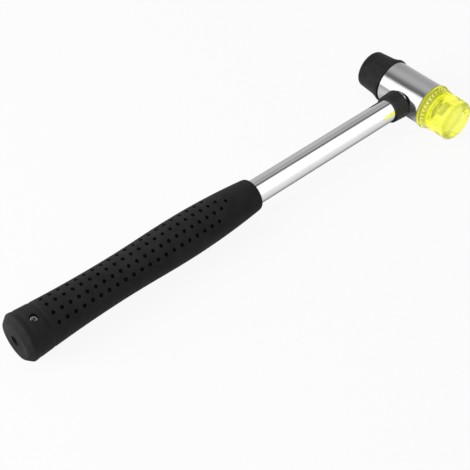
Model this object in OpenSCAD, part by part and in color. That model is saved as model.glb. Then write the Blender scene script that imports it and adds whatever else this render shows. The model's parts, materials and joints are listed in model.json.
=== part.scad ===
// Soft face hammer: a plated barrel head on a plated tube handle, with one clear and one black
// screw-on face, a moulded collar under the head and a dimpled rubber grip.
// The hammer lies on its face rims and grip. +X points to the clear face, +Y to the head.

/* [Barrel] */
// Diameter of the barrel
barrel_d = 23.6; // [20:0.1:26]
// Length of the barrel that shows between the two faces
barrel_len = 28.3; // [26:0.1:40]
// How far the barrel's middle lies from the handle's axis, towards the black face
barrel_shift = 0.95; // [0:0.05:1.5]
// Diameter of the spigots that centre the faces
spigot_d = 18.6; // [16:0.1:19]
// Length of each spigot beyond the barrel's shoulder
spigot_len = 5; // [3:0.1:6]
// Chamfer on the barrel's shoulders and spigots
barrel_chamfer = 0.4; // [0.2:0.1:0.8]

/* [Faces] */
// Diameter of the rim that meets the barrel
rim_d = 25; // [24:0.1:32]
// Length of the rim at its full diameter
rim_len = 1.7; // [1.4:0.1:2.2]
// Height of the step between the rim and the taper behind it
rim_step = 0.3; // [0.1:0.05:0.5]
// Distance from the barrel's shoulder to the end of that taper
taper_end = 5.8; // [4.5:0.1:7]
// Diameter of the striking body at the end of the taper
body_d = 22.3; // [21:0.1:23.4]
// Diameter of the clear face at its striking end
clear_tip_d = 21.8; // [19:0.1:22]
// Diameter of the black face at its striking end
black_tip_d = 20.8; // [19:0.1:22]
// Length of the clear face from the barrel's shoulder to its striking end
clear_len = 18.5; // [16:0.1:22]
// Length of the black face from the barrel's shoulder to its striking end
black_len = 16.6; // [16:0.1:22]
// Rounding of the striking edges
strike_round = 1.8; // [0.5:0.1:3]
// Rounding of the rim's edges
rim_round = 0.5; // [0.2:0.1:0.6]
// Depth of the socket that takes the spigot and the spring washer
socket_depth = 7; // [6.2:0.1:7.6]
// Number of finger notches round the taper
notch_count = 32; // [16:1:40]
// Radius of a finger notch
notch_r = 0.6; // [0.3:0.05:0.9]
// Distance of the finger notches from the barrel's shoulder
notch_at = 2.4; // [2:0.1:3.2]
// Height of the notches' floor above the striking body
notch_rise = 0.4; // [0.2:0.05:0.7]

/* [Studs] */
// Diameter of the threaded stud
stud_d = 8; // [6:0.1:8.4]
// How far the stud stands out past the face's rim
stud_reach = 5.2; // [3:0.1:5.8]
// Size across the flats of the moulded-in hexagon head
hex_af = 13; // [11:0.1:14]
// Height of the hexagon head
hex_h = 5.3; // [4:0.1:5.6]
// Plastic between the socket's floor and the hexagon head
hex_cover = 1.4; // [1:0.1:1.8]
// Outer diameter of the spring washer
washer_d = 14.8; // [13:0.1:16]
// Width of the washer's split
washer_split = 1.2; // [0.6:0.1:2]

/* [Handle] */
// Distance from the barrel's axis to the end of the grip
handle_len = 256.4; // [220:0.2:320]
// Outer diameter of the handle tube
tube_d = 12.7; // [10:0.1:13.4]
// Wall of the handle tube
tube_wall = 1.2; // [0.8:0.1:2]
// How far the tube passes the barrel's axis inside its seat
tube_seat = 3; // [0:0.1:5]
// Length of the collar
collar_len = 8.4; // [6:0.1:20]
// Wall of the collar at its front
collar_wall = 1.15; // [0.8:0.05:2.5]
// Extra radius of the collar at its back, next to the barrel
collar_flare = 0.5; // [0:0.1:1]
// Rounding of the collar's edges
collar_round = 0.5; // [0.2:0.1:0.7]

/* [Grip] */
// Length of the grip
grip_len = 138.8; // [125:0.2:180]
// Diameter of the flat at the grip's end
end_flat_d = 18.4; // [12:0.1:20]
// Length of the rounded shoulder behind that flat
end_round_len = 3.6; // [2:0.1:4]
// Largest diameter, at the end swell
swell_d = 24.2; // [21:0.1:28]
// Diameter of the waist
waist_d = 20.3; // [18:0.1:23]
// Distance of the waist from the grip's end
waist_at = 54.4; // [45:0.2:65]
// Diameter of the palm bulge
bulge_d = 21.9; // [19:0.1:25]
// Distance of the palm bulge from the grip's end
bulge_at = 93.4; // [80:0.2:105]
// Diameter at the front of the grip
front_d = 16.9; // [16:0.1:18]
// Rounding of the grip's front edge
front_round = 1.2; // [0.5:0.1:1.4]
// Rubber that closes the grip behind the tube
end_wall = 4; // [3:0.1:5]
// Diameter of the small recess in the grip's end
end_recess_d = 5.2; // [3:0.1:7]
// Depth of that recess
end_recess_depth = 1.5; // [0.5:0.1:2]
// Turn of the grip on the tube, in degrees
grip_turn = 15; // [0:1:30]

/* [Dimples] */
// Diameter of a dimple
dimple_d = 1.7; // [1:0.1:2.2]
// Depth of a dimple
dimple_depth = 0.9; // [0.4:0.1:1.2]
// Spacing of the dimples along the grip
dimple_pitch = 4.61; // [4:0.01:5]
// Distance of the first dimple from the grip's end
dimple_start = 18.1; // [16.6:0.1:20]
// Dimples in each of the two middle rows of a panel
dimple_count = 22; // [8:1:22]
// Angle between neighbouring rows, in degrees
row_step = 25.2; // [18:0.1:28]

/* [Hang hole] */
// Distance of the hang hole from the grip's end
hang_at = 9.6; // [8.6:0.1:10]
// Diameter of the hang hole in the rubber
hang_d = 4; // [3.6:0.1:5]
// Outer diameter of the eyelet that lines the hole through the tube
eyelet_d = 3.1; // [2.4:0.1:3.4]
// Wall of the eyelet
eyelet_wall = 0.3; // [0.2:0.05:0.5]
// How far the eyelet's ends lie below the rubber
eyelet_sink = 2.2; // [1.4:0.1:3]
// Distance of the two grooves from the hang hole, towards the end and towards the head
groove_gap = 4.1; // [3.4:0.1:4.5]
// Depth of a groove
groove_depth = 0.35; // [0.1:0.05:0.5]
// Radius of a groove's round section
groove_r = 1; // [0.6:0.1:1.2]

/* [Hidden] */
$fn = 96;
// Radial clearances: turning thread, spigot in its socket, washer on the stud, pieces fixed together
thread_gap = 0.08;
socket_gap = 0.3;
washer_gap = 0.3;
fixed_gap = 0.03;
// Clearance between the collar and the barrel
collar_gap = 0.05;
// Drilled depth beyond the stud's tip
drill_runout = 0.9;
// Chamfer on the stud's tip
stud_chamfer = 1;
// How far a cut runs past the face that it opens
overrun = 1;
// Angle of the washer's split across the ring, in degrees
split_angle = 35;
// Steps along one stretch of a curved outline
curve_steps = 10;
round_steps = 6;

washer_t = socket_depth - spigot_len;
socket_d = spigot_d + 2 * socket_gap;
hex_at = socket_depth + hex_cover;
stud_hole_d = stud_d + 2 * thread_gap;
stud_hole_depth = spigot_len + stud_reach + drill_runout;
tube_bore_d = tube_d + 2 * fixed_gap;
collar_front_at = barrel_d / 2 + collar_gap + collar_len;
collar_front_r = tube_d / 2 + collar_wall;
collar_back_r = collar_front_r + collar_flare;
tube_end = handle_len - end_wall;
panel_angles = [0, 180];
// Places of a panel's rows, in shares of the angle between two rows
row_shares = [-1.5, -0.5, 0.5, 1.5];
outer_row = max(row_shares);

// Place of the handle's axis and the barrel's axis about the middle of the lying hammer
overall_len = handle_len + rim_d / 2;
handle_x = barrel_shift + (black_len - clear_len) / 2;
head_y = overall_len / 2 - rim_d / 2;
head_z = max(rim_d, swell_d) / 2;

// Diameter of the grip at a distance from its end, forward of the rounded end shoulder
function end_stretch_d(at) =
    waist_d + (swell_d - waist_d) * pow((waist_at - at) / (waist_at - end_round_len), 2);
function palm_stretch_d(at) =
    waist_d + (bulge_d - waist_d) * (1 - cos(180 * (at - waist_at) / (bulge_at - waist_at))) / 2;
function front_stretch_d(at) =
    bulge_d - (bulge_d - front_d) * pow((at - bulge_at) / (grip_len - bulge_at), 2);
function grip_r(at) =
    (at < waist_at ? end_stretch_d(at) : at < bulge_at ? palm_stretch_d(at) : front_stretch_d(at)) / 2;

// Points at equal steps along one stretch of the grip, without its last one
function grip_stretch(from, to) =
    [for (i = [0 : curve_steps - 1]) let (at = from + (to - from) * i / curve_steps) [grip_r(at), at]];

// Points on a quarter of an ellipse about a centre, from one angle to another
function quarter(centre, radii, from, to) =
    [for (i = [0 : round_steps]) let (a = from + (to - from) * i / round_steps)
        [centre[0] + radii[0] * cos(a), centre[1] + radii[1] * sin(a)]];

// Outline of the grip: radius against distance from its end
function grip_outline() = let (
    front_from = grip_len - front_round,
    front_centre_r = grip_r(front_from) - front_round) concat(
    [[0, 0]],
    quarter([end_flat_d / 2, end_round_len], [(swell_d - end_flat_d) / 2, end_round_len], -90, 0),
    grip_stretch(end_round_len, waist_at),
    grip_stretch(waist_at, bulge_at),
    grip_stretch(bulge_at, front_from),
    quarter([front_centre_r, front_from], [front_round, front_round], 0, 90),
    [[0, grip_len]]);

// Outline of a face: radius against distance from the barrel's shoulder
function face_outline(tip_d, reach) = concat(
    [[0, 0]],
    quarter([rim_d / 2 - rim_round, rim_round], [rim_round, rim_round], -90, 0),
    quarter([rim_d / 2 - rim_step, rim_len - rim_step], [rim_step, rim_step], 0, 90),
    [[body_d / 2, taper_end]],
    quarter([tip_d / 2 - strike_round, reach - strike_round], [strike_round, strike_round], 0, 90),
    [[0, reach]]);

// Outline of the barrel and its spigots: radius against distance from the barrel's middle
function barrel_half(side) = let (
    shoulder = barrel_len / 2,
    spigot_end = shoulder + spigot_len,
    points = [[barrel_d / 2, shoulder - barrel_chamfer], [barrel_d / 2 - barrel_chamfer, shoulder],
        [spigot_d / 2, shoulder], [spigot_d / 2, spigot_end - barrel_chamfer],
        [spigot_d / 2 - barrel_chamfer, spigot_end], [0, spigot_end]])
    [for (p = points) [p[0], side * p[1]]];

function reversed(list) = [for (i = [len(list) - 1 : -1 : 0]) list[i]];

// Outline of the collar: radius against distance from its front
function collar_outline() = concat(
    [[0, 0]],
    quarter([collar_front_r - collar_round, collar_round], [collar_round, collar_round], -90, 0),
    quarter([collar_back_r - collar_round, collar_len - collar_round], [collar_round, collar_round], 0, 90),
    [[0, collar_len]]);

// Places a piece, drawn about the point where the two axes cross, where the lying hammer has it
module at_rest() {
    translate([handle_x, head_y, head_z]) children();
}

// Turns +Z to the head's axis, with the origin at a distance from the barrel's middle
module along_barrel(side, distance) {
    translate([-barrel_shift, 0, 0]) rotate([0, side * 90, 0]) translate([0, 0, distance]) children();
}

// Stands a face piece on its end of the barrel
module on_end(side) {
    along_barrel(side, barrel_len / 2) children();
}

// Turns +Z to +Y, with the origin on the handle's axis at a distance from the barrel's axis
module along_handle(distance) {
    translate([0, -distance, 0]) rotate([-90, 0, 0]) children();
}

// A rod through the middle of the hang hole, at the angle at which the grip sits on the tube
module hang_rod(d, h) {
    translate([0, hang_at - handle_len, 0]) rotate([0, grip_turn, 0]) cylinder(d = d, h = h, center = true);
}

module hang_drill(d) {
    hang_rod(d, swell_d + 2 * overrun);
}

module head_barrel() {
    color("silver") at_rest() difference() {
        along_barrel(1, 0) rotate_extrude()
            polygon(concat(barrel_half(-1), reversed(barrel_half(1))));
        for (side = [-1, 1]) on_end(side) translate([0, 0, spigot_len - stud_hole_depth])
            cylinder(d = stud_hole_d, h = stud_hole_depth + overrun);
        along_handle(barrel_d) cylinder(d = tube_bore_d, h = barrel_d + tube_seat);
    }
}

module handle_tube() {
    tube_len = tube_end + tube_seat;
    color("gainsboro") at_rest() difference() {
        along_handle(tube_end) cylinder(d = tube_d, h = tube_len);
        along_handle(tube_end + overrun) cylinder(d = tube_d - 2 * tube_wall, h = tube_len + 2 * overrun);
        hang_drill(eyelet_d + 2 * fixed_gap);
    }
}

// Eyelet through both walls of the tube, with its ends sunk in the rubber's hole
module hang_eyelet() {
    color("silver") at_rest() difference() {
        hang_rod(eyelet_d, 2 * (grip_r(hang_at) - eyelet_sink));
        hang_drill(eyelet_d - 2 * eyelet_wall);
    }
}

module head_collar() {
    color([0.13, 0.13, 0.14]) at_rest() difference() {
        along_handle(collar_front_at) rotate_extrude() polygon(collar_outline());
        along_handle(collar_front_at + overrun) cylinder(d = tube_bore_d, h = collar_len + 2 * overrun);
    }
}

// Cuts all the dimples: two panels of rows, the outer rows one short, and a lone dimple at each panel's tip
module dimple_cutters() {
    for (panel = panel_angles) {
        for (row = row_shares, i = [0 : dimple_count - (abs(row) == outer_row ? 2 : 1)])
            dimple(panel + row * row_step, dimple_start + i * dimple_pitch);
        dimple(panel, dimple_start + dimple_count * dimple_pitch);
    }
}

module dimple(angle, at) {
    rotate([0, grip_turn + angle, 0]) translate([0, at - handle_len, grip_r(at) - dimple_depth])
        cylinder(d = dimple_d, h = dimple_depth + overrun, $fn = 24);
}

module groove(at) {
    along_handle(handle_len - at) rotate_extrude()
        translate([grip_r(at) + groove_r - groove_depth, 0]) circle(r = groove_r, $fn = 32);
}

module grip_sleeve() {
    color([0.16, 0.16, 0.17]) at_rest() difference() {
        along_handle(handle_len) rotate_extrude() polygon(grip_outline());
        along_handle(tube_end) cylinder(d = tube_bore_d, h = grip_len);
        along_handle(handle_len + overrun) cylinder(d = end_recess_d, h = end_recess_depth + overrun);
        for (side = [-1, 1]) groove(hang_at + side * groove_gap);
        hang_drill(hang_d);
        dimple_cutters();
    }
}

// A screw-on face with its socket, moulded hexagon pocket and ring of finger notches
module face_shell(tip_d, reach) {
    difference() {
        rotate_extrude() polygon(face_outline(tip_d, reach));
        translate([0, 0, -overrun]) cylinder(d = socket_d, h = socket_depth + overrun);
        cylinder(d = stud_d + 2 * fixed_gap, h = hex_at);
        translate([0, 0, hex_at]) hexagon(hex_af + 2 * fixed_gap, hex_h + fixed_gap);
        for (i = [0 : notch_count - 1]) rotate([0, 0, 360 * i / notch_count])
            translate([body_d / 2 + notch_rise + notch_r, 0, notch_at])
                cylinder(r = notch_r, h = taper_end - notch_at, $fn = 24);
    }
}

module hexagon(flats, h) {
    cylinder(d = flats / cos(30), h = h, $fn = 6);
}

// The stud that is moulded into a face: hexagon head, shank and chamfered tip
module stud() {
    union() {
        intersection() {
            translate([0, 0, hex_at]) hexagon(hex_af, hex_h);
            cylinder(r1 = hex_af, r2 = hex_af / 2, h = hex_at + hex_h);
        }
        rotate_extrude() polygon([[0, -stud_reach], [stud_d / 2 - stud_chamfer, -stud_reach],
            [stud_d / 2, stud_chamfer - stud_reach], [stud_d / 2, hex_at], [0, hex_at]]);
    }
}

// Split spring washer, pressed flat between the spigot and the socket's floor
module spring_washer() {
    translate([0, 0, spigot_len]) difference() {
        cylinder(d = washer_d, h = washer_t);
        translate([0, 0, -overrun]) cylinder(d = stud_d + 2 * washer_gap, h = washer_t + 2 * overrun);
        translate([washer_d / 2, 0, washer_t / 2]) rotate([split_angle, 0, 0])
            cube([washer_d, washer_split, 2 * washer_d], center = true);
    }
}

module yellow_face() { color([0.93, 0.95, 0.25, 0.8]) at_rest() on_end(1) face_shell(clear_tip_d, clear_len); }
module yellow_face_stud() { color("lightgrey") at_rest() on_end(1) stud(); }
module yellow_spring_washer() { color("grey") at_rest() on_end(1) spring_washer(); }
module black_face() { color([0.12, 0.12, 0.12]) at_rest() on_end(-1) face_shell(black_tip_d, black_len); }
module black_face_stud() { color("lightgrey") at_rest() on_end(-1) stud(); }
module black_spring_washer() { color("grey") at_rest() on_end(-1) spring_washer(); }

head_barrel();
handle_tube();
head_collar();
grip_sleeve();
hang_eyelet();
yellow_face();
yellow_face_stud();
yellow_spring_washer();
black_face();
black_face_stud();
black_spring_washer();
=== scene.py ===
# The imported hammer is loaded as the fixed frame, in metres: +X along the head to the clear face,
# +Y along the handle to the head and +Z up, with the hammer lying on the floor at z = 0.
import json
import math

import bmesh
import bpy
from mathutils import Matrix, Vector

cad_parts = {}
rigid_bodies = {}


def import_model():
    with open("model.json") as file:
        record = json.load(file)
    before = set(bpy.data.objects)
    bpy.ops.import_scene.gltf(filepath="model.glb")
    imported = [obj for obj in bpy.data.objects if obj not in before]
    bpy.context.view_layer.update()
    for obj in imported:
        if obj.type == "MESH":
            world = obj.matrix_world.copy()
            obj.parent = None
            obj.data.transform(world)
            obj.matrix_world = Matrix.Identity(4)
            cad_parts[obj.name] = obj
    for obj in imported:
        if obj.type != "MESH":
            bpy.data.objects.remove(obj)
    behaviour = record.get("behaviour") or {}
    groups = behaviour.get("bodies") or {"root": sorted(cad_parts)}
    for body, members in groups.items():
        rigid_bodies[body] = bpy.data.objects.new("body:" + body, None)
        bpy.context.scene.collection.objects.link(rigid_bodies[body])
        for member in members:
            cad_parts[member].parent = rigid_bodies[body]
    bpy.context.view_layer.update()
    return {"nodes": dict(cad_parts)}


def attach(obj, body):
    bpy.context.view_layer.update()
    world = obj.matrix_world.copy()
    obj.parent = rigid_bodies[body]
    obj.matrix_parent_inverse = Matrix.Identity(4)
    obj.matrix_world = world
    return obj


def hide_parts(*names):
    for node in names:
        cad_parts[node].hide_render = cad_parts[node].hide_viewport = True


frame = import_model()


# Camera: it looks down over the clear face's side of the handle, with a long lens about 0.6 m from
# the head, so that the handle rises from the lower left to the head at the upper right.
bpy.ops.object.select_all(action="DESELECT")
bpy.ops.object.camera_add(
    location=(0.28846, -0.26252, 0.38446),
    rotation=(math.radians(44.44498), math.radians(0.15474), math.radians(48.29871)),
)
camera = bpy.context.object
camera.name = "camera"
camera.data.sensor_width = 36
camera.data.lens = 84.2553
bpy.context.scene.camera = camera


# Barrel of the head: a turned steel bar with a spigot at each end, ground and bright plated.
# The grinding runs round the bar, and the plating leaves a faint haze over it.
def finish(name, **settings):
    """A new material with one Principled shader. The settings go straight on its sockets."""
    material = bpy.data.materials.new(name)
    material.use_nodes = True
    shader = material.node_tree.nodes["Principled BSDF"]
    for socket, value in settings.items():
        shader.inputs[socket.replace("_", " ")].default_value = value
    return material


def grain(material, per_metre, stretch=(1, 1, 1), detail=2):
    """Noise on the piece's own coordinates, so many grains to the metre, stretched on an axis."""
    tree = material.node_tree
    place = tree.nodes.new("ShaderNodeTexCoord")
    mapping = tree.nodes.new("ShaderNodeMapping")
    mapping.inputs["Scale"].default_value = stretch
    noise = tree.nodes.new("ShaderNodeTexNoise")
    noise.inputs["Scale"].default_value = per_metre
    noise.inputs["Detail"].default_value = detail
    tree.links.new(place.outputs["Object"], mapping.inputs["Vector"])
    tree.links.new(mapping.outputs["Vector"], noise.inputs["Vector"])
    return noise.outputs["Fac"]


def tone_ramp(tree, pattern, stops):
    """A ramp over a pattern from 0 to 1, through stops of a place with a grey tone or a colour."""
    ramp = tree.nodes.new("ShaderNodeValToRGB")
    elements = ramp.color_ramp.elements
    first, *between, last = stops
    for number, (place, tone) in enumerate((first, last, *between)):
        element = elements[number] if number < 2 else elements.new(place)
        element.position = place
        element.color = (*tone, 1) if isinstance(tone, tuple) else (tone, tone, tone, 1)
    tree.links.new(pattern, ramp.inputs["Fac"])
    return ramp.outputs["Color"]


def vary(material, socket, pattern, low, high):
    """Lets noise, which lies mostly from 0.35 to 0.65, carry a socket between two values."""
    tree = material.node_tree
    tones = tone_ramp(tree, pattern, ((0.35, low), (0.65, high)))
    tree.links.new(tones, tree.nodes["Principled BSDF"].inputs[socket])


def relief(material, pattern, depth):
    """Raises the surface by a pattern, so many metres at most."""
    tree = material.node_tree
    bump = tree.nodes.new("ShaderNodeBump")
    bump.inputs["Distance"].default_value = depth
    bump.inputs["Strength"].default_value = 1.0
    tree.links.new(pattern, bump.inputs["Height"])
    tree.links.new(bump.outputs["Normal"], tree.nodes["Principled BSDF"].inputs["Normal"])


barrel_plating = finish("barrel_plating", Metallic=1.0)
vary(barrel_plating, "Base Color", grain(barrel_plating, 90),
     (0.90, 0.90, 0.91), (0.95, 0.95, 0.96))
vary(barrel_plating, "Roughness", grain(barrel_plating, 260, detail=4), 0.07, 0.12)
relief(barrel_plating, grain(barrel_plating, 5000, stretch=(1, 0.03, 0.03)), 0.000004)
frame["nodes"]["head_barrel"].data.materials[0] = barrel_plating


# Handle tube: drawn steel tube, polished along its length and bright plated, seated in the barrel.
# Polishing lines run along it, much finer than the grinding of the barrel.
tube_plating = finish("tube_plating", Metallic=1.0)
vary(tube_plating, "Base Color", grain(tube_plating, 70), (0.91, 0.91, 0.92), (0.96, 0.96, 0.97))
vary(tube_plating, "Roughness", grain(tube_plating, 240, stretch=(1, 0.25, 1), detail=4),
     0.06, 0.12)
relief(tube_plating, grain(tube_plating, 5000, stretch=(1, 0.03, 1)), 0.000003)
frame["nodes"]["handle_tube"].data.materials[0] = tube_plating


# Collar: a moulded black plastic ring that covers the joint of tube and barrel.
# Its skin has the fine spark-eroded grain of the mould.
collar_plastic = finish("collar_plastic", Specular_IOR_Level=0.35)
vary(collar_plastic, "Base Color", grain(collar_plastic, 500),
     (0.010, 0.010, 0.011), (0.016, 0.016, 0.017))
vary(collar_plastic, "Roughness", grain(collar_plastic, 900), 0.38, 0.52)
relief(collar_plastic, grain(collar_plastic, 4200, detail=3), 0.00002)
frame["nodes"]["head_collar"].data.materials[0] = collar_plastic


# Grip: one rubber moulding pushed over the tube, with a waist, a palm bulge and a swollen end that
# is closed and has a conical shoulder. Two panels of deep round dimples and two shallow grooves
# beside the hang hole come from the same mould.
# Painted shade darkens the dimples' walls and floors.
mm = 0.001
weld = 0.001 * mm
head_y, axis_z = 121.95 * mm, 12.5 * mm
grip_end_y = head_y - 256.4 * mm
grip_turn = math.radians(15)
grip_columns = 28
end_flat_r, swell_r, waist_r, bulge_r, front_r = 9.6, 12.1, 10.15, 10.95, 8.45
swell_at, waist_at, bulge_at, front_at = 3.6, 54.4, 93.4, 138.8
recess_r, recess_depth = 2.6, 1.5
cone_rings = ((-0.35, 0), (0.05, 0.05), (0.35, 0.33), (1.3, 1.42), (2.25, 2.55))
swell_places = (3.0, 3.35, 3.9)
groove_places, groove_depth = (5.5, 13.7), 0.18
groove_rings = ((-1.15, 0), (-0.75, 0.1), (-0.35, 1), (0.35, 1), (0.75, 0.1), (1.15, 0))
between_grooves, before_dimples = (8.2, 11), 16.2
dimple_start, dimple_pitch, dimple_rows, dimple_r = 18.1, 4.61, 22, 1.2
dimple_chamfer, dimple_wall, dimple_floor = (0.10, 0.10), (0.08, 0.65), (0.30, 0.20)
dimple_sides, dimple_profile = 8, 0.086
front_places = (126, 129, 132, 134.6, 136.4, 137.6)
front_rings = ((0.3, 138.45), (1.1, front_at))
bore_r, bore_end, bore_edge, bore_places = 6.38, 4.0, 0.2, (100, 50)
hang_r, hang_at, hang_cut, hang_sides = 2, 9.6, 28, 48
rim_crease, grip_edge_angle = 0.8, math.radians(48)


def grip_radius(at):
    """Radius of the grip in mm, so many mm from its end, in front of the conical shoulder."""
    if at < waist_at:
        return waist_r + (swell_r - waist_r) * ((waist_at - at) / (waist_at - swell_at)) ** 2
    if at < bulge_at:
        share = (1 - math.cos(math.pi * (at - waist_at) / (bulge_at - waist_at))) / 2
        return waist_r + (bulge_r - waist_r) * share
    return bulge_r - (bulge_r - front_r) * ((at - bulge_at) / (front_at - bulge_at)) ** 2


def drawn_line(name, origin, points):
    """Draws a line from point to point, in metres from an origin, and stays in edit mode."""
    bpy.ops.object.select_all(action="DESELECT")
    bpy.ops.mesh.primitive_plane_add(size=mm, location=origin)
    line = bpy.context.object
    line.name = line.data.name = name
    bpy.ops.object.mode_set(mode="EDIT")
    bpy.ops.mesh.select_mode(type="VERT")
    bpy.ops.mesh.select_all(action="SELECT")
    bpy.ops.mesh.merge(type="CENTER")
    bpy.ops.transform.translate(value=points[0])
    for last, point in zip(points, points[1:]):
        bpy.ops.mesh.extrude_region_move(TRANSFORM_OT_translate={"value": point - last})
    return line


def turned(name, origin, along, out, outline, steps):
    """Spins an outline of (radius, distance) pairs in mm round an axis through the origin."""
    piece = drawn_line(name, origin, [along * d * mm + out * r * mm for r, d in outline])
    bpy.ops.mesh.select_all(action="SELECT")
    bpy.ops.mesh.spin(steps=steps, angle=2 * math.pi, center=origin, axis=along)
    bpy.ops.mesh.select_all(action="SELECT")
    bpy.ops.mesh.remove_doubles(threshold=weld)
    bpy.ops.mesh.normals_make_consistent(inside=False)
    bpy.ops.object.mode_set(mode="OBJECT")
    bpy.ops.object.transform_apply(location=True, rotation=True, scale=True)
    return piece


def select_where(kind, test):
    """In edit mode, selects the vertices, edges or faces that pass a test, and nothing else."""
    bpy.ops.mesh.select_mode(type={"verts": "VERT", "edges": "EDGE", "faces": "FACE"}[kind])
    bpy.ops.mesh.select_all(action="DESELECT")
    mesh = bmesh.from_edit_mesh(bpy.context.object.data)
    for element in getattr(mesh, kind):
        element.select = test(element)
    mesh.select_flush_mode()
    bmesh.update_edit_mesh(bpy.context.object.data)


def apply_modifier(piece, kind, **settings):
    """Adds a modifier with its settings and applies it. After a cut, slivers are merged."""
    sliver = 0.002 * mm
    bpy.ops.object.select_all(action="DESELECT")
    piece.select_set(True)
    bpy.context.view_layer.objects.active = piece
    modifier = piece.modifiers.new(kind.lower(), kind)
    for name, value in settings.items():
        setattr(modifier, name, value)
    bpy.ops.object.modifier_apply(modifier=modifier.name)
    if kind == "BOOLEAN":
        bpy.ops.object.mode_set(mode="EDIT")
        bpy.ops.mesh.select_all(action="SELECT")
        bpy.ops.mesh.remove_doubles(threshold=sliver)
        bpy.ops.mesh.dissolve_degenerate(threshold=sliver)
        bpy.ops.object.mode_set(mode="OBJECT")


# Subdividing draws a ring of columns in to this share of its radius, so it is made wider by it
drawn_in = 0.75 + 0.25 * math.cos(2 * math.pi / grip_columns)
grip_rings = [(0, recess_depth), (recess_r - 1, recess_depth), (recess_r, recess_depth),
              (recess_r, 0), (recess_r + 0.6, 0), (end_flat_r - 1.2, 0)]
grip_rings += [(end_flat_r + out, at) for out, at in cone_rings]
grip_rings += [(grip_radius(at), at) for at in swell_places]
for groove in groove_places:
    for step, depth in groove_rings:
        grip_rings.append((grip_radius(groove + step) - depth * groove_depth, groove + step))
    if groove == groove_places[0]:
        grip_rings += [(grip_radius(at), at) for at in between_grooves]
grip_rings.append((grip_radius(before_dimples), before_dimples))
for half in range(2 * dimple_rows + 3):
    at = dimple_start + half * dimple_pitch / 2
    grip_rings.append((grip_radius(at), at))
grip_rings += [(grip_radius(at), at) for at in front_places]
grip_rings += [(grip_radius(front_places[-1]) - inward, at) for inward, at in front_rings]
grip_rings += [(bore_r + bore_edge, front_at), (bore_r, front_at)]
grip_rings += [(bore_r, at) for at in (*bore_places, bore_end)]
grip_rings.append((0, bore_end))

grip_up = Vector((math.sin(grip_turn), 0, math.cos(grip_turn)))
handle_end = Vector((0, grip_end_y, axis_z))
grip = turned("grip", handle_end, Vector((0, 1, 0)), grip_up,
              [(r / drawn_in, at) for r, at in grip_rings], grip_columns)


def grip_place(point):
    """Column round the grip and distance from its end in mm, of a point on it."""
    angle = math.atan2(point.x, point.z - axis_z) - grip_turn
    column = round(angle * grip_columns / (2 * math.pi)) % grip_columns
    return column, (point.y - grip_end_y) / mm


def is_dimple(vertex):
    """The dimples stand in two panels of five columns, and the middle one has a single dimple."""
    column, at = grip_place(vertex.co)
    row = (at - dimple_start) / dimple_pitch
    panel = grip_columns // 2
    beside = min(column % panel, panel - column % panel)
    last = {0: dimple_rows, 1: dimple_rows - 1, 3: dimple_rows - 2}.get(beside, -1)
    first = dimple_rows if beside == 0 else 0
    on_skin = (vertex.co - handle_end).cross(Vector((0, 1, 0))).length > (bore_r + 1) * mm
    on_row = abs(row - round(row)) < 0.01
    return on_skin and on_row and first <= round(row) <= last


def is_sharp_ring(edge):
    """The rims of the bore and of the end's recess stay sharp."""
    near, level = 0.05, 0.01 * mm
    a, b = (v.co for v in edge.verts)
    at = (a.y - grip_end_y) / mm
    radius = math.hypot(a.x, a.z - axis_z) / mm * drawn_in
    bore_rim = abs(radius - bore_r) < near and (
        abs(at - front_at) < near or abs(at - bore_end) < near)
    recess_rim = abs(radius - recess_r) < near and at < recess_depth + 0.5
    return abs(a.y - b.y) < level and (bore_rim or recess_rim)


grip_rubber = finish("grip_rubber", Specular_IOR_Level=0.06)
vary(grip_rubber, "Base Color", grain(grip_rubber, 160, detail=5),
     (0.022, 0.022, 0.0225), (0.030, 0.030, 0.0305))
vary(grip_rubber, "Roughness", grain(grip_rubber, 700, detail=3), 0.48, 0.62)
relief(grip_rubber, grain(grip_rubber, 3600, detail=4), 0.00003)
# Painted shade: the dimples' walls and floors get a darker rubber, for the shade deep in them.
dimple_painted_shade_rubber = finish("dimple_painted_shade_rubber", Specular_IOR_Level=0.03)
vary(dimple_painted_shade_rubber, "Base Color", grain(dimple_painted_shade_rubber, 600),
     (0.006, 0.006, 0.006), (0.011, 0.011, 0.011))
vary(dimple_painted_shade_rubber, "Roughness", grain(dimple_painted_shade_rubber, 900), 0.60, 0.75)
grip.data.materials.append(grip_rubber)
grip.data.materials.append(dimple_painted_shade_rubber)

bpy.ops.object.mode_set(mode="EDIT")
select_where("edges", is_sharp_ring)
bpy.ops.transform.edge_crease(value=rim_crease)
select_where("verts", is_dimple)
bpy.ops.mesh.bevel(offset=dimple_r * mm, segments=2, profile=dimple_profile, affect="VERTICES")
bpy.ops.mesh.select_mode(type="FACE")
bpy.ops.mesh.dissolve_faces()
select_where("faces", lambda face: len(face.verts) == dimple_sides)
for inward, down in (dimple_chamfer, dimple_wall, dimple_floor):
    bpy.ops.mesh.inset(thickness=inward * mm, depth=-down * mm, use_individual=True)
# The dimples' walls and floors take the darker rubber of painted shade.
bpy.ops.mesh.select_more()
bpy.ops.mesh.select_more()
grip.active_material_index = 1
bpy.ops.object.material_slot_assign()
bpy.ops.object.mode_set(mode="OBJECT")
apply_modifier(grip, "SUBSURF", levels=1, render_levels=1)

bpy.ops.object.select_all(action="DESELECT")
bpy.ops.mesh.primitive_cylinder_add(
    vertices=hang_sides, radius=hang_r * mm, depth=hang_cut * mm, rotation=(0, grip_turn, 0),
    location=(0, grip_end_y + hang_at * mm, axis_z))
hang_cutter = bpy.context.object
apply_modifier(grip, "BOOLEAN", operation="DIFFERENCE", object=hang_cutter, solver="EXACT")
bpy.data.objects.remove(hang_cutter)
grip.select_set(True)
bpy.context.view_layer.objects.active = grip
bpy.ops.object.shade_smooth_by_angle(angle=grip_edge_angle)
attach(grip, "hammer")
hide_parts("grip_sleeve")


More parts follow.
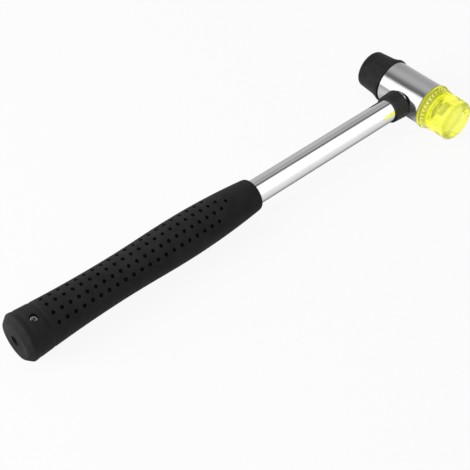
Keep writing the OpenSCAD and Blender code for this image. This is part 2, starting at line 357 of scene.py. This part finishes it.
# Eyelet: a short bright plated tube through the hang hole, tight in the handle tube.
# It is sunk below the rubber, and its satin rim catches light from all round.
eyelet_plating = finish("eyelet_plating", Metallic=1.0)
vary(eyelet_plating, "Base Color", grain(eyelet_plating, 900),
     (0.93, 0.93, 0.93), (0.98, 0.98, 0.98))
vary(eyelet_plating, "Roughness", grain(eyelet_plating, 1500), 0.55, 0.70)
frame["nodes"]["hang_eyelet"].data.materials[0] = eyelet_plating


# Studs: M8 steel screws with a hexagon head, one moulded into each face. The right-hand thread is
# rolled, with a pitch of 1.25 mm, and the tip is chamfered.
shoulder_x = 13.2
stud_tip, stud_tip_r, stud_chamfer = 8.0, 3.0, 1.1
hexagon_from, hexagon_h, hexagon_flats, hexagon_round = 21.6, 5.3, 13, 0.35
thread_pitch, thread_r, root_r, thread_turns = 1.25, 3.98, 3.36, 14
thread_outline = ((root_r, 0), (root_r, 0.16), (thread_r, 0.55), (thread_r, 0.70),
                  (root_r, 1.09), (root_r, thread_pitch))
before_tip, into_hexagon = 1.5, 0.5
thread_steps, blank_steps = 32, 64
hexagon_turn, edge_angle = math.radians(30), math.radians(35)
head_centre = Vector((0, head_y, axis_z))
barrel_middle = Vector((-0.95 * mm, head_y, axis_z))
to_yellow, up = Vector((1, 0, 0)), Vector((0, 0, 1))

yellow_stud = drawn_line(
    "yellow_stud", head_centre + to_yellow * (stud_tip - before_tip) * mm,
    [to_yellow * d * mm + up * r * mm for r, d in thread_outline])
bpy.ops.object.mode_set(mode="OBJECT")
apply_modifier(yellow_stud, "SCREW", axis="X", angle=2 * math.pi, screw_offset=thread_pitch * mm,
               iterations=thread_turns, steps=thread_steps, render_steps=thread_steps,
               use_merge_vertices=True, merge_threshold=weld)
bpy.ops.object.transform_apply(location=True, rotation=True, scale=True)
bpy.ops.object.mode_set(mode="EDIT")
bpy.ops.mesh.select_all(action="SELECT")
bpy.ops.mesh.remove_doubles(threshold=weld)
bpy.ops.mesh.fill_holes(sides=0)
bpy.ops.mesh.select_all(action="SELECT")
bpy.ops.mesh.normals_make_consistent(inside=False)
bpy.ops.object.mode_set(mode="OBJECT")
blank_r, blank_end = stud_tip_r + stud_chamfer, hexagon_from + into_hexagon
stud_blank = turned("stud_blank", head_centre, to_yellow, up,
                    [(0, stud_tip), (stud_tip_r, stud_tip), (blank_r, stud_tip + stud_chamfer),
                     (blank_r, blank_end), (0, blank_end)], blank_steps)
apply_modifier(yellow_stud, "BOOLEAN", operation="INTERSECT", object=stud_blank, solver="EXACT")
bpy.data.objects.remove(stud_blank)

bpy.ops.object.select_all(action="DESELECT")
bpy.ops.mesh.primitive_cylinder_add(
    vertices=6, radius=hexagon_flats / math.sqrt(3) * mm, depth=hexagon_h * mm,
    rotation=(0, math.radians(90), 0),
    location=head_centre + to_yellow * (hexagon_from + hexagon_h / 2) * mm)
hexagon = bpy.context.object
bpy.ops.object.transform_apply(location=True, rotation=True, scale=True)
bpy.ops.object.mode_set(mode="EDIT")
bpy.ops.mesh.select_all(action="SELECT")
bpy.ops.transform.rotate(value=hexagon_turn, orient_axis="X", center_override=head_centre)
bpy.ops.mesh.bevel(offset=hexagon_round * mm, segments=3, affect="EDGES")
bpy.ops.object.mode_set(mode="OBJECT")
apply_modifier(yellow_stud, "BOOLEAN", operation="UNION", object=hexagon, solver="EXACT")
bpy.data.objects.remove(hexagon)
bpy.ops.object.shade_smooth_by_angle(angle=edge_angle)

stud_steel = finish("stud_steel", Metallic=1.0)
vary(stud_steel, "Base Color", grain(stud_steel, 600, detail=4),
     (0.86, 0.86, 0.85), (0.93, 0.93, 0.92))
vary(stud_steel, "Roughness", grain(stud_steel, 1400, detail=4), 0.10, 0.20)
relief(stud_steel, grain(stud_steel, 4000, stretch=(1, 0.1, 0.1)), 0.000003)
yellow_stud.data.materials.clear()
yellow_stud.data.materials.append(stud_steel)


def copy_to_black_end(piece, name):
    """A copy of a piece, with its own mesh, turned half round to the barrel's other end."""
    bpy.ops.object.select_all(action="DESELECT")
    piece.select_set(True)
    bpy.context.view_layer.objects.active = piece
    bpy.ops.object.duplicate(linked=False)
    copy = bpy.context.object
    copy.name = copy.data.name = name
    bpy.ops.object.mode_set(mode="EDIT")
    bpy.ops.mesh.select_all(action="SELECT")
    bpy.ops.transform.rotate(value=math.pi, orient_axis="Z", center_override=barrel_middle)
    bpy.ops.object.mode_set(mode="OBJECT")
    return copy


black_stud = copy_to_black_end(yellow_stud, "black_stud")
for stud, body, node in ((yellow_stud, "yellow_face", "yellow_face_stud"),
                         (black_stud, "black_face", "black_face_stud")):
    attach(stud, body)
    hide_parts(node)


# Spring washers: split rings of hardened spring steel round the studs, pressed flat between the
# spigot and the floor of the face's socket. They are left bare, with a dull skin.
spring_steel = finish("spring_steel", Metallic=1.0)
vary(spring_steel, "Base Color", grain(spring_steel, 500, detail=4),
     (0.58, 0.58, 0.58), (0.72, 0.72, 0.72))
vary(spring_steel, "Roughness", grain(spring_steel, 1200, detail=3), 0.25, 0.42)
relief(spring_steel, grain(spring_steel, 2500, detail=4), 0.00001)
for node in ("yellow_spring_washer", "black_spring_washer"):
    frame["nodes"][node].data.materials[0] = spring_steel


# Faces: mouldings round the hexagon heads, one in clear yellow plastic and one in black rubber.
# Each has a thin rim, a taper with finger notches behind it, a socket over the spigot and a rounded
# striking edge. The black one is a little shorter and slimmer at its end.
rim_r, rim_len, step_r, body_r, taper_end = 12.5, 1.7, 12.2, 11.15, 5.8
yellow_tip_r, yellow_len, black_tip_r, black_len = 10.9, 18.5, 10.4, 16.6
socket_r, socket_depth, seat = 9.6, 7.02, 0.02
notch_count, notch_r, notch_from, notch_out = 32, 0.6, 2.4, 12.15
black_tip_reach = 2.5
face_steps, rounding_steps, notch_sides = 192, 5, 20
face_outline = [(0, socket_depth), (socket_r, socket_depth), (socket_r, seat), (rim_r, seat),
                (rim_r, rim_len), (step_r, rim_len), (body_r, taper_end),
                (yellow_tip_r, yellow_len), (0, yellow_len)]
roundings = ((socket_r, socket_depth, 0.5), (socket_r, seat, 0.3), (rim_r, seat, 0.5),
             (rim_r, rim_len, 0.28), (yellow_tip_r, yellow_len, 1.8))
yellow_face = turned("yellow_moulding", head_centre, to_yellow, up,
                     [(r, shoulder_x + d) for r, d in face_outline], face_steps)


def is_ring(radius, place):
    """A test for the edges of one ring of a face, by its radius and its place on the head in mm."""
    near = 0.02

    def on_ring(point):
        from_axis = (point - head_centre).cross(to_yellow).length / mm
        return abs(point.x / mm - shoulder_x - place) < near and abs(from_axis - radius) < near

    return lambda edge: all(on_ring(v.co) for v in edge.verts)


bpy.ops.object.mode_set(mode="EDIT")
for radius, place, rounding in roundings:
    select_where("edges", is_ring(radius, place))
    bpy.ops.mesh.bevel(offset=rounding * mm, segments=rounding_steps, profile=0.5,
                       affect="EDGES")
bpy.ops.object.mode_set(mode="OBJECT")


def along_x(tree, start, end):
    """The place on a piece along X, as 0 at a start and 1 at an end, both in metres."""
    place = tree.nodes.new("ShaderNodeTexCoord")
    axes = tree.nodes.new("ShaderNodeSeparateXYZ")
    share = tree.nodes.new("ShaderNodeMapRange")
    share.inputs["From Min"].default_value = start
    share.inputs["From Max"].default_value = end
    tree.links.new(place.outputs["Object"], axes.inputs["Vector"])
    tree.links.new(axes.outputs["X"], share.inputs["Value"])
    return share.outputs["Result"]


# Painted shade: the clear plastic's colour is darkened at the back of the rim, round the notches
# and round the striking edge.
# Its faint yellow emission is a painted glow.
clear_yellow = finish("clear_yellow", IOR=1.2, Transmission_Weight=0.9,
                      Coat_Weight=0.5, Coat_Roughness=0.04,
                      Emission_Color=(1, 1, 0.05, 1), Emission_Strength=0.08)
vary(clear_yellow, "Base Color", grain(clear_yellow, 120, detail=3),
     (0.96, 0.98, 0.10), (0.98, 1.0, 0.15))
vary(clear_yellow, "Roughness", grain(clear_yellow, 500, detail=3), 0.01, 0.03)
tree = clear_yellow.node_tree
reach = along_x(tree, shoulder_x * mm, (shoulder_x + yellow_len) * mm)
painted_shade_tones = tone_ramp(tree, reach, (
    (0.0, 0.25), (0.03, 0.28), (0.05, 1.0), (0.085, 1.0), (0.115, 0.62), (0.24, 0.74), (0.32, 1.0),
    (0.885, 1.0), (0.92, 0.66), (0.985, 0.78), (0.997, 1.0), (1.0, 1.0)))
tint_with_painted_shade = tree.nodes.new("ShaderNodeMix")
tint_with_painted_shade.data_type, tint_with_painted_shade.blend_type = "RGBA", "MULTIPLY"
tint_with_painted_shade.inputs["Factor"].default_value = 1.0
dye = tree.nodes["Principled BSDF"].inputs["Base Color"]
tree.links.new(dye.links[0].from_socket, tint_with_painted_shade.inputs["A"])
tree.links.new(painted_shade_tones, tint_with_painted_shade.inputs["B"])
tree.links.new(tint_with_painted_shade.outputs["Result"], dye)
# The notches are frosted: rougher and less clear. Their paler colour is a painted highlight.
notch_highlight_yellow = finish("notch_highlight_yellow", IOR=1.2, Transmission_Weight=0.4)
vary(notch_highlight_yellow, "Base Color", grain(notch_highlight_yellow, 900), (0.93, 0.95, 0.42), (0.95, 0.97, 0.55))
vary(notch_highlight_yellow, "Roughness", grain(notch_highlight_yellow, 1500), 0.30, 0.45)
yellow_face.data.materials.append(clear_yellow)

bpy.ops.object.select_all(action="DESELECT")
notch_middle = shoulder_x + (notch_from + taper_end) / 2
bpy.ops.mesh.primitive_cylinder_add(
    vertices=notch_sides, radius=notch_r * mm, depth=(taper_end - notch_from) * mm,
    rotation=(0, math.radians(90), 0),
    location=head_centre + to_yellow * notch_middle * mm + up * notch_out * mm)
notch_cutters = bpy.context.object
notch_cutters.data.materials.append(notch_highlight_yellow)
bpy.ops.object.transform_apply(location=True, rotation=True, scale=True)
bpy.ops.object.mode_set(mode="EDIT")
bpy.ops.mesh.select_all(action="SELECT")
bpy.ops.mesh.spin(steps=notch_count - 1, dupli=True, center=head_centre, axis=to_yellow,
                  angle=2 * math.pi * (notch_count - 1) / notch_count)
bpy.ops.object.mode_set(mode="OBJECT")
apply_modifier(yellow_face, "BOOLEAN", operation="DIFFERENCE", object=notch_cutters,
               solver="EXACT", material_mode="TRANSFER")
bpy.data.objects.remove(notch_cutters)
yellow_face.select_set(True)
bpy.context.view_layer.objects.active = yellow_face
bpy.ops.object.shade_smooth_by_angle(angle=edge_angle)

black_face = copy_to_black_end(yellow_face, "black_moulding")
black_tip_x = 2 * barrel_middle.x - (shoulder_x + yellow_len - black_tip_reach) * mm
slimmer = black_tip_r / yellow_tip_r
bpy.ops.object.mode_set(mode="EDIT")
select_where("verts", lambda vertex: vertex.co.x < black_tip_x)
bpy.ops.transform.translate(value=((yellow_len - black_len) * mm, 0, 0))
bpy.ops.transform.resize(value=(1, slimmer, slimmer), center_override=head_centre)
bpy.ops.object.mode_set(mode="OBJECT")

black_rubber = finish("black_rubber", Specular_IOR_Level=0.25)
vary(black_rubber, "Base Color", grain(black_rubber, 300, detail=4),
     (0.009, 0.009, 0.009), (0.016, 0.016, 0.016))
vary(black_rubber, "Roughness", grain(black_rubber, 900, detail=3), 0.42, 0.58)
relief(black_rubber, grain(black_rubber, 3200, detail=3), 0.00002)
black_face.data.materials.clear()
black_face.data.materials.append(black_rubber)

for face, node, slot in ((yellow_face, "yellow_face", "clear_yellow"),
                         (black_face, "black_face", "black_rubber")):
    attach(face, node)
    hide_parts(node)


# Floor: a wide white studio table. The camera and the clear plastic see it as white paper, and its
# own shading keeps the hammer's soft shadow. The plating mirrors it as a glowing sheet of painted
# tones: a painted reflection, grey to one side and white to the other, with a painted shadow
# darkest beside the handle.
floor_size, floor_grey, paper_share = 8, 0.75, 0.92
tones_from, tones_to = -0.05, 0.08


def mixed(tree, share, shader, other):
    """Mixes two shaders, of which a share of 1 shows only the other one."""
    mix = tree.nodes.new("ShaderNodeMixShader")
    tree.links.new(share, mix.inputs["Fac"])
    tree.links.new(shader, mix.inputs[1])
    tree.links.new(other, mix.inputs[2])
    return mix.outputs["Shader"]


bpy.ops.object.select_all(action="DESELECT")
bpy.ops.mesh.primitive_plane_add(size=floor_size)
floor = bpy.context.object
floor.name = "floor"
floor_white = bpy.data.materials.new("floor_white")
floor_white.use_nodes = True
tree = floor_white.node_tree
tree.nodes.remove(tree.nodes["Principled BSDF"])
matt = tree.nodes.new("ShaderNodeBsdfDiffuse")
matt.inputs["Color"].default_value = (floor_grey, floor_grey, floor_grey, 1)
white_paper = tree.nodes.new("ShaderNodeEmission")
# Painted reflection and painted shadow: tones for the plating, darkest beside the handle.
painted_mirror_tones = tone_ramp(tree, along_x(tree, tones_from, tones_to), (
    (0.0, 0.46), (0.215, 0.62), (0.323, 0.05), (0.415, 0.12), (0.454, 0.45), (0.50, 0.66),
    (0.592, 0.74), (1.0, 0.88)))
painted_mirror_floor = tree.nodes.new("ShaderNodeEmission")
tree.links.new(painted_mirror_tones, painted_mirror_floor.inputs["Color"])
rays = tree.nodes.new("ShaderNodeLightPath")
white_share = tree.nodes.new("ShaderNodeMath")
white_share.operation = "MULTIPLY_ADD"
tree.links.new(rays.outputs["Is Camera Ray"], white_share.inputs[0])
white_share.inputs[1].default_value = paper_share
tree.links.new(rays.outputs["Is Transmission Ray"], white_share.inputs[2])
mirrored = mixed(tree, rays.outputs["Is Glossy Ray"],
                 matt.outputs["BSDF"], painted_mirror_floor.outputs["Emission"])
seen = mixed(tree, white_share.outputs["Value"], mirrored, white_paper.outputs["Emission"])
tree.links.new(seen, tree.nodes["Material Output"].inputs["Surface"])
floor.data.materials.append(floor_white)


# Light: even light from all round for the matt surfaces, with two soft lamps, overhead and to one
# side. The plating mirrors a studio with a white wall on the camera's side and grey ones behind.
# The clear plastic shows the same walls, better lit.
room_strength, wall_strength, least_lit = 0.3, 1.1, 0.35
white_wall = (0.8824, -0.3929, -0.2588)
world = bpy.data.worlds.new("studio")
bpy.context.scene.world = world
world.use_nodes = True
tree = world.node_tree
around = tree.nodes["Background"]
around.inputs["Color"].default_value = (1, 1, 1, 1)
around.inputs["Strength"].default_value = room_strength
direction = tree.nodes.new("ShaderNodeTexCoord")
towards = tree.nodes.new("ShaderNodeVectorMath")
towards.operation = "DOT_PRODUCT"
tree.links.new(direction.outputs["Generated"], towards.inputs[0])
towards.inputs[1].default_value = white_wall
spread = tree.nodes.new("ShaderNodeMapRange")
spread.inputs["From Min"].default_value = -1
spread.inputs["From Max"].default_value = 1
tree.links.new(towards.outputs["Value"], spread.inputs["Value"])
wall_tones = tone_ramp(tree, spread.outputs["Result"], (
    (0.0, 0.44), (0.02, 0.47), (0.07, 0.29), (0.12, 0.39), (0.17, 0.35), (0.235, 0.13),
    (0.286, 0.12), (0.326, 1.0), (1.0, 1.0)))
walls = tree.nodes.new("ShaderNodeBackground")
walls.inputs["Strength"].default_value = wall_strength
tree.links.new(wall_tones, walls.inputs["Color"])
lit_walls = tree.nodes.new("ShaderNodeMapRange")
lit_walls.inputs["To Min"].default_value = least_lit
tree.links.new(wall_tones, lit_walls.inputs["Value"])
lit_room = tree.nodes.new("ShaderNodeBackground")
tree.links.new(lit_walls.outputs["Result"], lit_room.inputs["Color"])
rays = tree.nodes.new("ShaderNodeLightPath")
mirrored = mixed(tree, rays.outputs["Is Glossy Ray"],
                 around.outputs["Background"], walls.outputs["Background"])
studio = mixed(tree, rays.outputs["Is Transmission Ray"], mirrored, lit_room.outputs["Background"])
tree.links.new(studio, tree.nodes["World Output"].inputs["Surface"])

lit_place = Vector((0, 0, 0.01))
for name, place, size, watts in (("overhead_lamp", (-0.2, 0.1, 1.2), 0.9, 2.0),
                                 ("side_lamp", (-0.45, -1.1, 0.45), 0.8, 22.0)):
    bpy.ops.object.light_add(type="AREA", location=place)
    lamp = bpy.context.object
    lamp.name = name
    lamp.rotation_euler = (lit_place - lamp.location).to_track_quat("-Z", "Y").to_euler()
    lamp.data.shape = "SQUARE"
    lamp.data.size = size
    lamp.data.energy = watts
    lamp.visible_glossy = False
    lamp.visible_transmission = False
bpy.context.scene.view_settings.view_transform = "Standard"
